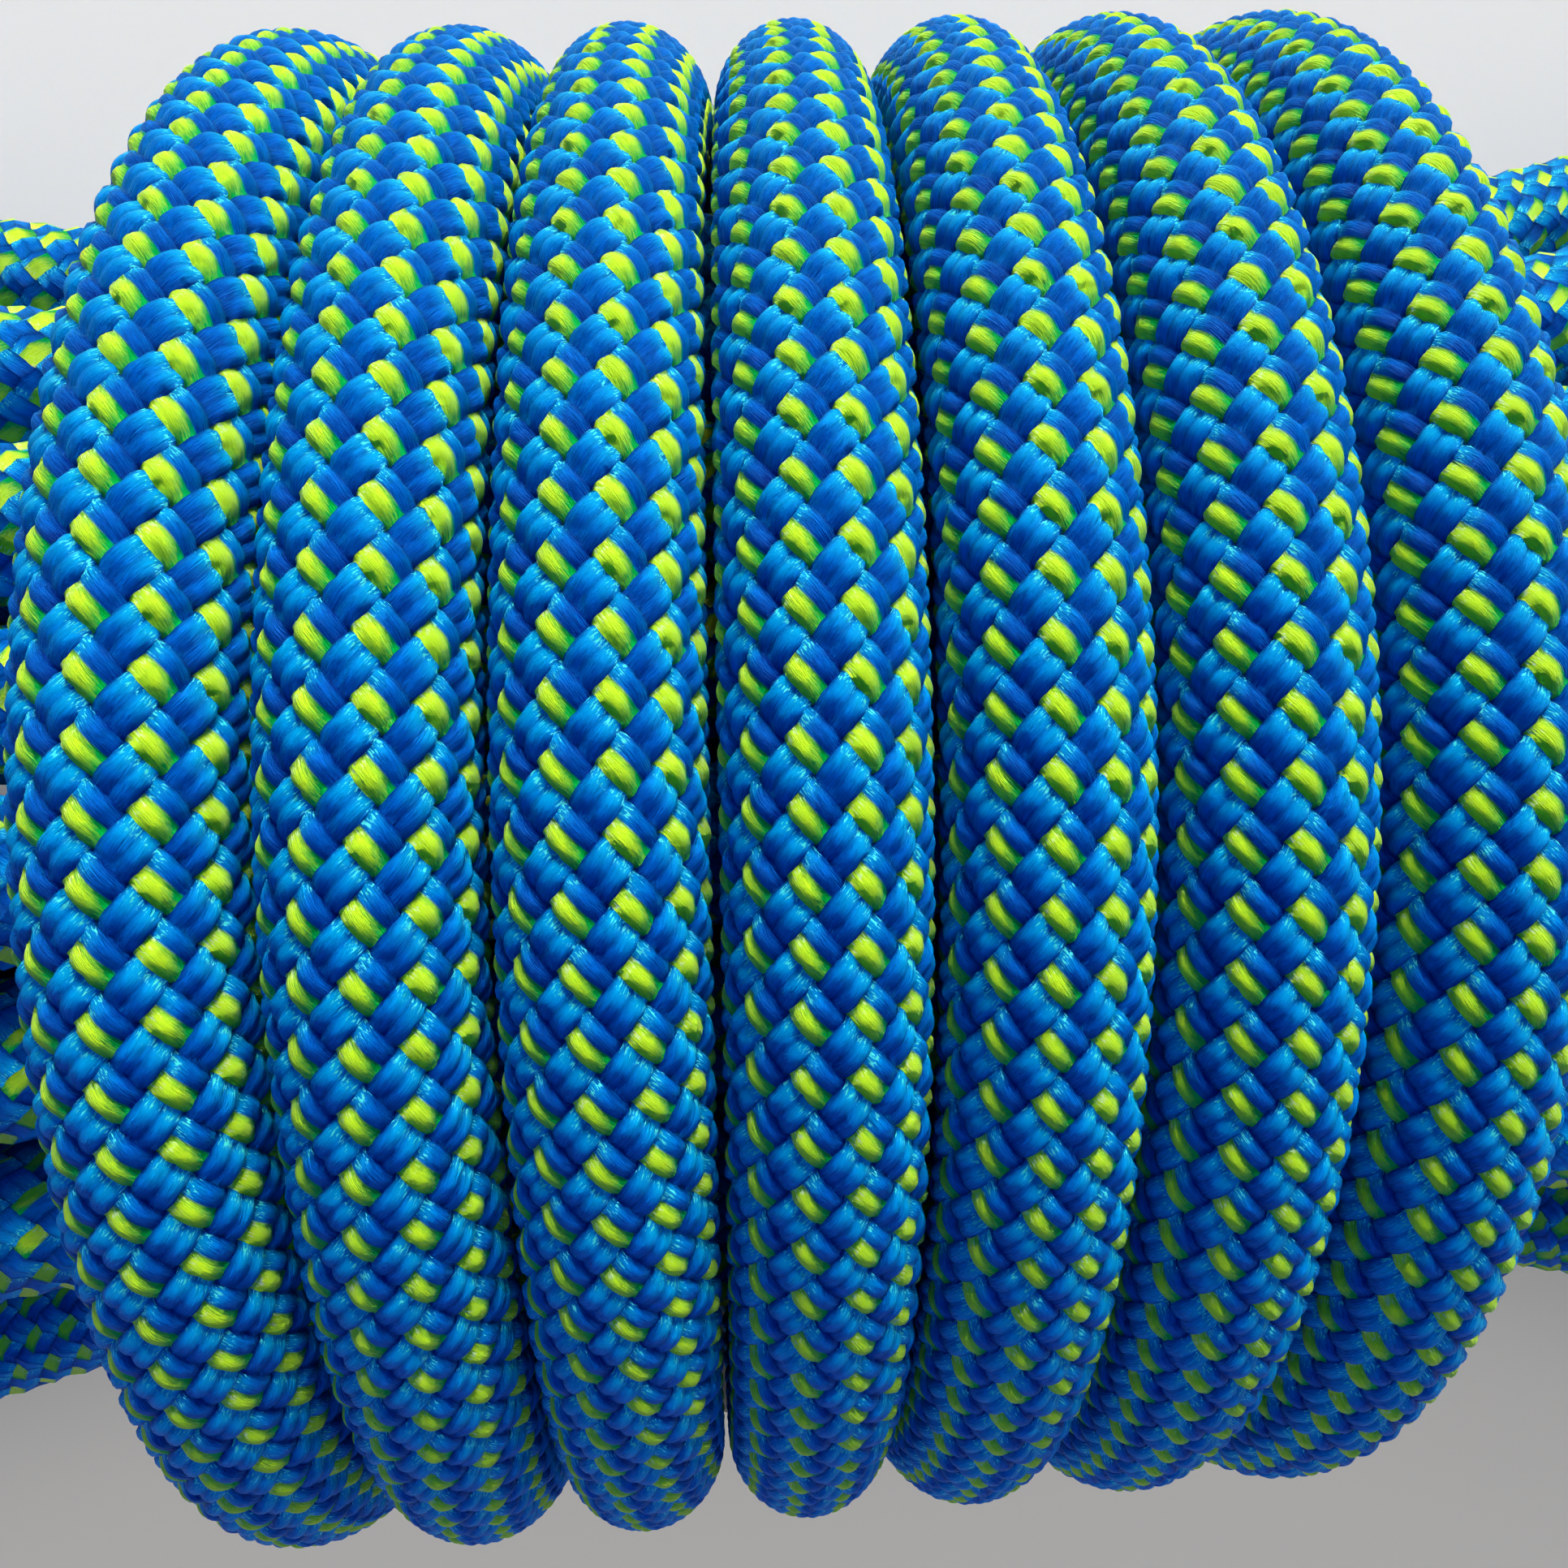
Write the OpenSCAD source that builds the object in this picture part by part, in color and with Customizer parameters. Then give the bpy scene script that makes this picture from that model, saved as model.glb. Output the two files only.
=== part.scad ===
// Dynamic climbing rope, put up as a hank that lies on its side.
// X runs along the hank, the waist wraps go round X, and Z is up from the floor.
// All sizes are in millimetres.

/* [Rope] */
// Diameter of the rope over its braided sheath
rope_d = 10; // [9:0.1:11]
// Space between strands that lie side by side
strand_gap = 0.5; // [0.45:0.05:1]
// Thickness of the braided sheath
sheath_wall = 1; // [0.8:0.1:1.2]
// Diameter of one twisted core strand
core_strand_d = 1.85; // [1.5:0.05:1.9]
// Width of the tracer tape that lies along the core
tracer_w = 1.2; // [0.8:0.1:1.6]
// Thickness of the tracer tape
tracer_t = 0.1; // [0.08:0.01:0.16]

/* [Hank] */
// Half the straight length of the waist, under and beside the wraps
waist_half_l = 44; // [43:1:54]
// Angle at which the strands fan out from the waist
fan_angle = 20; // [18:1:22]
// Bend radius of the innermost loop at each end of the hank
bight_r = 34; // [31:1:38]

/* [Waist wraps] */
// Number of turns round the waist
wraps = 7; // [5:1:7]
// Bend radius where the last strand turns into the first wrap
turn_r = 30; // [26:1:32]

/* [Rope ends] */
// Straight length of rope at each end
end_l = 45; // [40:1:60]
// Length of the shrunk-on end sleeve
sleeve_l = 30; // [24:1:38]
// Thickness of the end sleeve
sleeve_wall = 0.4; // [0.3:0.05:0.6]
// Space between the end sleeve and the rope
sleeve_fit = 0.05; // [0.03:0.01:0.1]
// Length of the fused tip past the end of the core
tip_l = 3; // [2.5:0.1:4]

/* [Hidden] */
strand_step = rope_d + strand_gap;
flat_cut = rope_d / 10;              // depth of the flat where the hank and wraps touch the floor
low_z = rope_d / 2 - flat_cut;       // axis height of a strand that lies on the floor
rope_color = [0.03, 0.22, 0.62];
core_color = [0.93, 0.93, 0.9];
sleeve_color = [0.06, 0.06, 0.07];
tip_color = [0.05, 0.12, 0.25];
tracer_color = [0.95, 0.75, 0.1];

// Inside the rope
bore_r = rope_d / 2 - sheath_wall;
core_inner = 3;
core_outer = 9;
core_fit = 0.05;                     // space between core strands, and round the core
core_inner_r = (core_strand_d + core_fit) / sqrt(3);
core_outer_r = bore_r - core_fit - core_strand_d / 2;
tracer_r = sqrt(pow(bore_r - core_fit, 2) - pow(tracer_w / 2, 2));
tip_cover = 1;                       // length of the fused tip that the sleeve covers
tip_round = 1;                       // radius of the tip's rim

// The hank has four columns of loops, from the eye outwards. Even columns climb
// and odd ones come down, and the rope changes column at the top or the bottom.
column_loops = [6, 6, 5, 3];
column_first = [0, 6, 12, 17];
loops = 20;
// Levels between the lowest strand and the waist's middle: far side, and near side as it arrives
far_mid = [for (c = column_loops) (c - 1) / 2];
near_mid = far_mid + [-0.5, 0, 0, 0.5];

// Oval that the wraps' centreline follows, one step outside the outermost strands
wrap_a = 4.74 * strand_step;
wrap_b = 4.06 * strand_step;
mid_z = wrap_b + low_z;              // height of the waist's axis

// Innermost loop, seen from above: waist, fan and bight
half_eye = strand_step / 2;
ease_r = 80;                         // bend radius where the fan leaves the waist
ease_x = waist_half_l + ease_r * tan(fan_angle / 2);
fan_l = (bight_r * cos(fan_angle) - half_eye) / sin(fan_angle);
bight_x = ease_x + fan_l * cos(fan_angle) + bight_r * sin(fan_angle);
bight_step = (90 + fan_angle) / 3;   // angle between the rings of a bight
bight_grow = 1 / cos(bight_step / 2);
drop_from = 36;                      // the strands sink from the waist's height to the floor
drop_to = 176;                       // between these distances from the middle
steep_at = 0.6;                      // share of the fan where the sinking eases off
least_slope = 0.24;                  // slope for which piled strands at least have room off the waist
roll_rings = [1, 1.4, 1.8, 2.2, 2.6, 3];
roll_reach = 1.03;                   // spare distance while one strand rolls over another

// Routes of the two tails: the first bend of the hank, then over the floor to the ends
end_z = rope_d / 2 + sleeve_fit + sleeve_wall + 0.05;   // axis height of an end sleeve
end_splay = 8;                       // angle at which the ends point away from the hank
end_way = [cos(end_splay), -sin(end_splay), 0];
start_end = [-46, -62.4, end_z];
start_bend = [[-72.6, -18.5, 6], [-67, -11.5, 8.4], [-58, -6.5, 11.8], [-47, -5.3, 14.4]];
start_points = [[-74, -36, 5], [-74, -46.3, 5], [-72.4, -52.7, 5], [-68.1, -57.7, 5],
                [-62, -60.2, 5.3], start_end - rope_d * end_way];
finish_end = [-14, 62.4, end_z];
finish_points = [[34.5, 50, 38], [35, 50, 27], [33.5, 51.5, 17], [28, 54.5, 9.5], [19, 57.7, 6],
                 [8, 59.5, 5.2], finish_end + rope_d * end_way];
end_points = [start_end, finish_end];
end_turns = [-end_splay, 180 - end_splay];   // directions of the two ends, turned from +X
end_names = ["start", "finish"];

wrap_rings = 18;                     // rings in one turn round the waist
hank_sides = 6;
tail_sides = 8;
turn_rings = 5;
$fn = 48;

// ---- small helpers

function unit(v) = v / norm(v);
function lerp(a, b, t) = a + (b - a) * t;
function smooth(t) = let (u = min(1, max(0, t))) u * u * (3 - 2 * u);

// ---- route of the hank

function column(n) = n < column_first[1] ? 0 : n < column_first[2] ? 1 : n < column_first[3] ? 2 : 3;
function climbs(c) = c % 2 == 0;
function level(n) =
    let (c = column(n), k = n - column_first[c])
    climbs(c) ? k : column_loops[c] - 1 - k;

// The six stations of a quarter loop, as [x, y] for a strand that is `out` outside
// the innermost one: waist, fan's start, fan, and three round the bight.
function plan_at(k, out) =
    k == 0 ? [drop_from + 2, half_eye + out]
    : k == 1 ? [ease_x - out * tan(fan_angle / 2), half_eye + out]
    : k == 2 ? lerp(plan_at(1, out), plan_at(3, out), steep_at)
    : let (a = (5.5 - k) * bight_step, r = (bight_r + out) * bight_grow)
      [bight_x + r * cos(a), r * sin(a)];
function plan(w, out) =
    let (k = min(4, floor(w))) lerp(plan_at(k, out), plan_at(k + 1, out), w - k);

// 1 at the waist and 0 in the bights
function drop_at(k, out) = 1 - smooth((plan_at(k, out)[0] - drop_from) / (drop_to - drop_from));
function steepness(k, out) =
    (drop_at(k, out) - drop_at(k + 1, out)) / norm(plan_at(k + 1, out) - plan_at(k, out));

// Height of the strand at level j of column c. Strands piled on a slope take a wider step.
function height_at(k, c, j, mid) =
    let (out = c * strand_step,
         rise = mid_z - mid * strand_step - low_z,
         lean = k == 0 || k == 5 ? 0
              : max(least_slope, 1.1 * rise * max(steepness(k - 1, out), steepness(k, out))))
    low_z + rise * drop_at(k, out) + j * strand_step * sqrt(1 + lean * lean);
function height(w, c, j, mid) =
    let (k = min(4, floor(w))) lerp(height_at(k, c, j, mid), height_at(k + 1, c, j, mid), w - k);
function departing_mid(c) = near_mid[c] + (climbs(c) ? 1 : -1);

// A point at station w of column c. sx is 1 at the right end, sy is -1 on the near side.
function place(w, c, j, mid, sx, sy) =
    let (p = plan(w, c * strand_step)) [sx * p[0], sy * p[1], height(w, c, j, mid)];

// A strand that rolls round the strand at level j of column c, from straight above
// (up = 1) or below (up = -1) it to its side (side = 1 outwards, -1 inwards)
function rolling(w, c, j, mid, sx, up, side) =
    let (a = 45 * min(2, max(0, w - 1)),
         reach = strand_step * (1 + (roll_reach - 1) * sin(2 * a)),
         k = min(4, floor(w)),
         slant = height(k + 1, c, j, mid) - height(k, c, j, mid),
         along = norm(plan(k + 1, c * strand_step) - plan(k, c * strand_step)),
         p = plan(w, c * strand_step + side * reach * sin(a)),
         z = height(w, c, j, mid) + up * reach * cos(a) * sqrt(1 + pow(slant / along, 2)))
    [sx * p[0], -p[1], z];

// The near side's right half. The first loop of each further column rolls into its
// place from above (up = 1) or below (up = -1) the last loop of the column before it.
function change(n) = n == column_first[2] ? -1 : n > 0 && search(n, column_first) != [] ? 1 : 0;
function near_right(n) =
    let (up = change(n), c = column(n) - 1, j = up == 1 ? column_loops[max(0, c)] - 1 : 0)
    up == 0
    ? [for (w = [0 : 3]) place(w, column(n), level(n), departing_mid(column(n)), 1, -1)]
    : concat([place(0, c, j + up, departing_mid(c), 1, -1)],
        [for (w = roll_rings)
            let (over = height(w, c, j, departing_mid(c)),
                 own = height(w, c + 1, j, departing_mid(c + 1)),
                 landed = pow(sin(45 * (w - 1)), 2))
            rolling(w, c, j, departing_mid(c), 1, up, 1) + [0, 0, (own - over) * landed]]);

// After the last change of column the strand still has two levels to lose, round the bight
function settle(n, k) = n == column_first[3] ? (column_loops[2] - column_loops[3]) * strand_step * k / 5 : 0;

function loop(n) =
    let (c = column(n), j = level(n), far = far_mid[c], near = near_mid[c])
    concat(
        near_right(n),
        [for (k = [4, 5]) place(k, c, j, far, 1, -1) + [0, 0, settle(n, 8 - k)]],
        [for (k = [5, 4]) place(k, c, j, far, 1, 1) + [0, 0, settle(n, k - 3)]],
        [for (k = [3 : -1 : 0]) place(k, c, j, far, 1, 1)],
        [for (k = [0 : 5]) place(k, c, j, far, -1, 1)],
        [for (k = [5 : -1 : n == loops - 1 ? 2 : 0]) place(k, c, j, near, -1, -1)]);

// The rope comes in from the start tail, under the first loop
start_run = concat(
    [start_points[0], start_points[0] + rope_d * unit(start_points[0] - start_points[1])],
    start_bend,
    [place(0, 0, -1, near_mid[0], -1, -1)]);
// and leaves the outermost column towards the wraps
wrap_join = place(steep_at * 2.6, 3, 0, near_mid[3], -1, -1);
hank_loops_list = [for (n = [0 : loops - 1]) loop(n)];
hank_route = concat(start_run, [for (l = hank_loops_list) each l], [wrap_join]);

// ---- route of the waist wraps, as an angle round the waist from its near side

mean_r = (wrap_a + wrap_b) / 2;
wrap_grow = 1 / cos(180 / wrap_rings);
wrap_lean = atan(strand_step / (2 * PI * mean_r));
turn_from = -33;
turn_last = 90 - wrap_lean;
turn_angle = turn_r * (1 - cos(turn_last)) / mean_r * 180 / PI;
wrap_from = turn_from + turn_angle;
wrap_to = 360 * (wraps - 0.5);

function round_waist(x, a, grow) = [x, -wrap_a * grow * cos(a), mid_z + wrap_b * grow * sin(a)];
function helix_x(a) = (a / 360 - 0.25 - (wraps - 1) / 2) * strand_step;
function turn_point(a) =
    round_waist(helix_x(wrap_from) - turn_r * (sin(turn_last) - sin(a)),
                turn_from + turn_r * (1 - cos(a)) / mean_r * 180 / PI, 1);

join_dir = unit(place(1, 3, 0, near_mid[3], -1, -1) - place(2, 3, 0, near_mid[3], -1, -1));
finish_dir = unit(finish_points[1] - finish_points[0]);
helix_steps = ceil((wrap_to - wrap_from) / 360 * wrap_rings);
waist_route = concat(
    [wrap_join, wrap_join + rope_d * join_dir],
    [for (i = [0 : turn_rings - 1]) turn_point(turn_last * i / turn_rings)],
    [for (i = [0 : helix_steps - 1])
        let (a = lerp(wrap_from, wrap_to, i / helix_steps))
        round_waist(helix_x(a), a, i < 2 ? 1 : wrap_grow)],
    [finish_points[0] - rope_d * finish_dir, finish_points[0]]);

// ---- least gap of a strand to itself, measured from the points and the middles of
// its segments to every segment more than three rings away

function off_segment(p, a, b) =
    let (d = b - a, t = min(1, max(0, (p - a) * d / (d * d)))) norm(p - a - t * d);
function own_gap(run) =
    min([for (i = [0 : len(run) - 2], j = [0 : len(run) - 2])
        if (abs(i - j) > 3 && norm(run[i] - run[j]) < 120)
            min(off_segment(run[i], run[j], run[j + 1]),
                off_segment((run[i] + run[i + 1]) / 2, run[j], run[j + 1]))]) - rope_d;

// ---- solids

// A tube through ring centres, with one corner of each ring towards its `up` vector
module tube(points, ups, d, sides) {
    count = len(points);
    corners = [for (i = [0 : count - 1])
        let (before = points[max(0, i - 1)], after = points[min(count - 1, i + 1)],
             here = points[i],
             along = i == 0 ? unit(after - here) : i == count - 1 ? unit(here - before)
                   : unit(unit(after - here) + unit(here - before)),
             side = unit(cross(along, ups[i])),
             up = cross(side, along))
        for (k = [0 : sides - 1])
            here + d / 2 * (up * cos(360 * k / sides) + side * sin(360 * k / sides))];
    walls = [for (i = [0 : count - 2], k = [0 : sides - 1])
        let (a = i * sides + k, b = i * sides + (k + 1) % sides)
        each [[a, b, a + sides], [b, b + sides, a + sides]]];
    first_cap = [for (k = [1 : sides - 2]) [0, k + 1, k]];
    e = (count - 1) * sides;
    last_cap = [for (k = [1 : sides - 2]) [e, e + k, e + k + 1]];
    polyhedron(corners, concat(walls, first_cap, last_cap), convexity = 10);
}

module above_floor() {
    reach = bight_x + 2 * bight_r + 8 * strand_step;
    difference() {
        children();
        translate([-reach, -reach, -reach]) cube([2 * reach, 2 * reach, reach]);
    }
}

module hank_loops() color(rope_color) above_floor()
    tube(hank_route, [for (p = hank_route) [0, 0, 1]], rope_d, hank_sides);

module waist_wraps() color(rope_color) above_floor()
    tube(waist_route, [for (p = waist_route) [0, p[1], p[2] - mid_z]], rope_d, hank_sides);

module start_tail() color(rope_color)
    tube(concat(start_points, [start_end]), [for (p = concat(start_points, [0])) [0, 0, 1]],
         rope_d, tail_sides);

module finish_tail() color(rope_color)
    tube(concat(finish_points, [finish_end]), [for (p = concat(finish_points, [0])) [0, 1, 0]],
         rope_d, tail_sides);

// ---- the two rope ends, each drawn along +Z from the end of its tail

module at_end(e) translate(end_points[e]) rotate([0, 90, end_turns[e]]) children();

module pipe(outer_d, inner_d, l) difference() {
    cylinder(d = outer_d, h = l);
    translate([0, 0, -1]) cylinder(d = inner_d, h = l + 2);
}

module sheath_end(e) color(rope_color) at_end(e) pipe(rope_d, 2 * bore_r, end_l);

module end_sleeve(e) color(sleeve_color) at_end(e)
    translate([0, 0, end_l + tip_cover - sleeve_l])
        pipe(rope_d + 2 * (sleeve_fit + sleeve_wall), rope_d + 2 * sleeve_fit, sleeve_l);

// The strands and the sheath melted together, with a rounded rim
module fused_tip(e) color(tip_color) at_end(e) translate([0, 0, end_l])
    rotate_extrude()
        polygon(concat([[0, 0], [rope_d / 2, 0]],
            [for (a = [0 : 15 : 90])
                [rope_d / 2 - tip_round * (1 - cos(a)), tip_l - tip_round * (1 - sin(a))]],
            [[0, tip_l]]));

// Three strands in the middle and nine round them, each set into the gaps of the three
module core_strand(e, i) color(core_color) at_end(e)
    rotate([0, 0, i < core_inner ? i * 360 / core_inner : (i + 0.5) * 360 / core_outer])
        translate([i < core_inner ? core_inner_r : core_outer_r, 0, 0])
            cylinder(d = core_strand_d, h = end_l);

// The tape lies against the sheath, in the valley between two core strands
module tracer(e) color(tracer_color) at_end(e)
    translate([tracer_r - tracer_t, -tracer_w / 2, 0]) cube([tracer_t, tracer_w, end_l]);

function strand_name(e, i) = str(end_names[e], "_core_strand_", i + 1);

union() {
    echo(str("Least gap of the hank to itself: ", own_gap(hank_route), " mm"));
    hank_loops();
}
union() {
    echo(str("Least gap of the wraps to themselves: ", own_gap(waist_route), " mm"));
    waist_wraps();
}
start_tail();
finish_tail();
for (e = [0, 1]) {
    sheath_end(e);
    end_sleeve(e);
    fused_tip(e);
    tracer(e);
    for (i = [0 : core_inner + core_outer - 1])
        core_strand(e, i);
}
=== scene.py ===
import bpy, math
import numpy as np
from mathutils import Matrix, Vector


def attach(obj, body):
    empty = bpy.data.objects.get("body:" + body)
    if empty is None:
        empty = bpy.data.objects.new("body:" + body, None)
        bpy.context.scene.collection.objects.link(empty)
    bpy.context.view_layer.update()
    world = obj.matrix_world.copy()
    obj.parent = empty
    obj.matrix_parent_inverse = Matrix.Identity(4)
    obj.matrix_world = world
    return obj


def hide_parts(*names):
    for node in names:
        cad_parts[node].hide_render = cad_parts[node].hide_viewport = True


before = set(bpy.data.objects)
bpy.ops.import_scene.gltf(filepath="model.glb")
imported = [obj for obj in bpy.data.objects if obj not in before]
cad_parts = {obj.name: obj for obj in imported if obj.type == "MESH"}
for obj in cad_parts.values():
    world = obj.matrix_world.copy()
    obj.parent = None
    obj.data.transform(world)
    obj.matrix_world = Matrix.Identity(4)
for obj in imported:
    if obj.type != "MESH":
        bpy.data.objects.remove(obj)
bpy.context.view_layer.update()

# ---- the rope's route, with the sizes and points of part.scad, in millimetres

STEP = 10.5                    # from one strand to the next
ROPE_R = 5.0
LOW_Z, END_Z = 4.0, 5.5        # axis height on the floor, and at the end sleeves
END_L, TIP_L = 45.0, 3.0       # the hollow end of the sheath, and the melted tip
WAIST_HALF_L, EASE_R, BIGHT_R = 44.0, 80.0, 34.0   # waist, and the two bends of the first loop
FAN = math.radians(20)         # angle at which the loops open out from the waist
WRAPS, TURN_R = 7, 30.0        # turns round the waist, and the bend that leads into them
WRAP_A, WRAP_B = 4.74 * STEP, 4.06 * STEP          # half width and half height of the wraps
MID_Z = WRAP_B + LOW_Z         # height of the waist's axis
# Four columns of loops, from the eye outwards. Even ones climb and odd ones come down.
COLUMN_LOOPS, COLUMN_FIRST, LOOPS = [6, 6, 5, 3], [0, 6, 12, 17], 20
# Levels between the lowest strand and the waist's middle: far side, and near side as it arrives
FAR_MID = [(n - 1) / 2 for n in COLUMN_LOOPS]
NEAR_MID = [FAR_MID[0] - 0.5, FAR_MID[1], FAR_MID[2], FAR_MID[3] + 0.5]
# The first loop from above: half of its eye, the fan, and the bight at its end
HALF_EYE = STEP / 2
EASE_X = WAIST_HALF_L + EASE_R * math.tan(FAN / 2)
FAN_L = (BIGHT_R * math.cos(FAN) - HALF_EYE) / math.sin(FAN)
BIGHT_X = EASE_X + FAN_L * math.cos(FAN) + BIGHT_R * math.sin(FAN)
BIGHT_STEP = (math.pi / 2 + FAN) / 3
DROP_FROM, DROP_TO = 36.0, 176.0   # the strands sink to the floor between these distances
STEEP_AT, LEAST_SLOPE, SLOPE_SPARE = 0.6, 0.24, 1.1
ROLL_REACH, ROLL_TURN = 1.03, 45   # one strand rolls over another: spare distance, and degrees
ROLL_RINGS = [1, 1.4, 1.8, 2.2, 2.6, 3]
SPLAY = math.radians(8)        # angle at which the ends point away from the hank
SPLAY_X, SPLAY_Y = 2 * ROPE_R * math.cos(SPLAY), 2 * ROPE_R * math.sin(SPLAY)
START_END = [-46, -62.4, END_Z]
START_BEND = [[-72.6, -18.5, 6], [-67, -11.5, 8.4], [-58, -6.5, 11.8], [-47, -5.3, 14.4]]
START_POINTS = [[-74, -36, 5], [-74, -46.3, 5], [-72.4, -52.7, 5], [-68.1, -57.7, 5],
                [-62, -60.2, 5.3], [START_END[0] - SPLAY_X, START_END[1] + SPLAY_Y, END_Z]]
FINISH_END = [-14, 62.4, END_Z]
FINISH_POINTS = [[34.5, 50, 38], [35, 50, 27], [33.5, 51.5, 17], [28, 54.5, 9.5], [19, 57.7, 6],
                 [8, 59.5, 5.2], [FINISH_END[0] + SPLAY_X, FINISH_END[1] - SPLAY_Y, END_Z]]
WRAP_RINGS, TURN_RINGS, TURN_FROM = 18, 5, -33.0   # points of a wrap and of the turn before it


def lerp(a, b, t):
    return [x + (y - x) * t for x, y in zip(a, b)]


def smooth(t):
    t = min(1.0, max(0.0, t))
    return t * t * (3 - 2 * t)


def toward(a, b, distance):
    """The point at this distance from a, on the way to b"""
    a, b = np.array(a, float), np.array(b, float)
    return a + distance * (b - a) / np.linalg.norm(b - a)


def column(n):
    return max(c for c in range(4) if n >= COLUMN_FIRST[c])


def level(n):
    c = column(n)
    k = n - COLUMN_FIRST[c]
    return k if c % 2 == 0 else COLUMN_LOOPS[c] - 1 - k


def plan_at(k, out):
    """Station k of a quarter loop from above, out outside the first one: waist, fan's start,
    fan, and three round the bight"""
    if k == 0:
        return [DROP_FROM + 2, HALF_EYE + out]
    if k == 1:
        return [EASE_X - out * math.tan(FAN / 2), HALF_EYE + out]
    if k == 2:
        return lerp(plan_at(1, out), plan_at(3, out), STEEP_AT)
    a, r = (5.5 - k) * BIGHT_STEP, (BIGHT_R + out) / math.cos(BIGHT_STEP / 2)
    return [BIGHT_X + r * math.cos(a), r * math.sin(a)]


def plan(w, out):
    """The same for any place w between the stations"""
    k = min(4, int(w))
    return lerp(plan_at(k, out), plan_at(k + 1, out), w - k)


def drop_at(k, out):
    """1 at the waist and 0 in the bights"""
    return 1 - smooth((plan_at(k, out)[0] - DROP_FROM) / (DROP_TO - DROP_FROM))


def steepness(k, out):
    run = np.linalg.norm(np.subtract(plan_at(k + 1, out), plan_at(k, out)))
    return (drop_at(k, out) - drop_at(k + 1, out)) / run


def height_at(k, c, j, mid):
    """Height of the strand at level j of column c. Strands piled on a slope take a wider step."""
    out, rise = c * STEP, MID_Z - mid * STEP - LOW_Z
    lean = 0
    if k not in (0, 5):
        lean = max(LEAST_SLOPE, SLOPE_SPARE * rise * max(steepness(k - 1, out), steepness(k, out)))
    return LOW_Z + rise * drop_at(k, out) + j * STEP * math.sqrt(1 + lean * lean)


def height(w, c, j, mid):
    k = min(4, int(w))
    return lerp([height_at(k, c, j, mid)], [height_at(k + 1, c, j, mid)], w - k)[0]


def departing(c):
    return NEAR_MID[c] + (1 if c % 2 == 0 else -1)


def place(w, c, j, mid, sx, sy):
    """A point of column c. sx is 1 at the right end, and sy is -1 on the near side."""
    p = plan(w, c * STEP)
    return [sx * p[0], sy * p[1], height(w, c, j, mid)]


def rolling(w, c, j, mid, up):
    """A strand that rolls round the strand at level j of column c to its outer side, from
    straight above (up = 1) or below it (up = -1)"""
    a = math.radians(ROLL_TURN * min(2, max(0, w - 1)))
    reach = STEP * (1 + (ROLL_REACH - 1) * math.sin(2 * a))
    k = min(4, int(w))
    slant = height(k + 1, c, j, mid) - height(k, c, j, mid)
    along = np.linalg.norm(np.subtract(plan(k + 1, c * STEP), plan(k, c * STEP)))
    p = plan(w, c * STEP + reach * math.sin(a))
    z = height(w, c, j, mid) + up * reach * math.cos(a) * math.sqrt(1 + (slant / along) ** 2)
    return [p[0], -p[1], z]


def near_right(n):
    """The right half of the near side. The first loop of each further column rolls into its
    place over or under the last loop of the column before it."""
    up = -1 if n == COLUMN_FIRST[2] else 1 if n in COLUMN_FIRST[1:] else 0
    c = column(n)
    if up == 0:
        return [place(w, c, level(n), departing(c), 1, -1) for w in range(4)]
    c -= 1
    j = COLUMN_LOOPS[c] - 1 if up == 1 else 0
    points = [place(0, c, j + up, departing(c), 1, -1)]
    for w in ROLL_RINGS:
        rise = height(w, c + 1, j, departing(c + 1)) - height(w, c, j, departing(c))
        x, y, z = rolling(w, c, j, departing(c), up)
        points.append([x, y, z + rise * math.sin(math.radians(ROLL_TURN * (w - 1))) ** 2])
    return points


def loop(n):
    c, j = column(n), level(n)
    far, near = FAR_MID[c], NEAR_MID[c]
    # after the last change of column the strand still has two levels to lose, round the bight
    last_levels = (COLUMN_LOOPS[2] - COLUMN_LOOPS[3]) * STEP / 5 if n == COLUMN_FIRST[3] else 0

    def settled(k, sy, share):
        x, y, z = place(k, c, j, far, 1, sy)
        return [x, y, z + last_levels * share]
    stop = 1 if n == LOOPS - 1 else -1
    return (near_right(n) + [settled(k, -1, 8 - k) for k in (4, 5)]
            + [settled(k, 1, k - 3) for k in (5, 4)]
            + [place(k, c, j, far, 1, 1) for k in (3, 2, 1, 0)]
            + [place(k, c, j, far, -1, 1) for k in range(6)]
            + [place(k, c, j, near, -1, -1) for k in range(5, stop, -1)])


MEAN_R = (WRAP_A + WRAP_B) / 2
WRAP_GROW = 1 / math.cos(math.pi / WRAP_RINGS)
LEAN = math.atan(STEP / (2 * math.pi * MEAN_R))
TURN_LAST = math.pi / 2 - LEAN
WRAP_FROM = TURN_FROM + math.degrees(TURN_R * (1 - math.cos(TURN_LAST)) / MEAN_R)
WRAP_TO = 360 * (WRAPS - 0.5)


def round_waist(x, a, grow):
    """A point of the wraps, a degrees round the waist from its near side"""
    a = math.radians(a)
    return [x, -WRAP_A * grow * math.cos(a), MID_Z + WRAP_B * grow * math.sin(a)]


def helix_x(a):
    return (a / 360 - 0.25 - (WRAPS - 1) / 2) * STEP


def turn_point(a):
    """A point of the turn into the first wrap, which has turned by a"""
    return round_waist(helix_x(WRAP_FROM) - TURN_R * (math.sin(TURN_LAST) - math.sin(a)),
                       TURN_FROM + math.degrees(TURN_R * (1 - math.cos(a)) / MEAN_R), 1)


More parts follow.
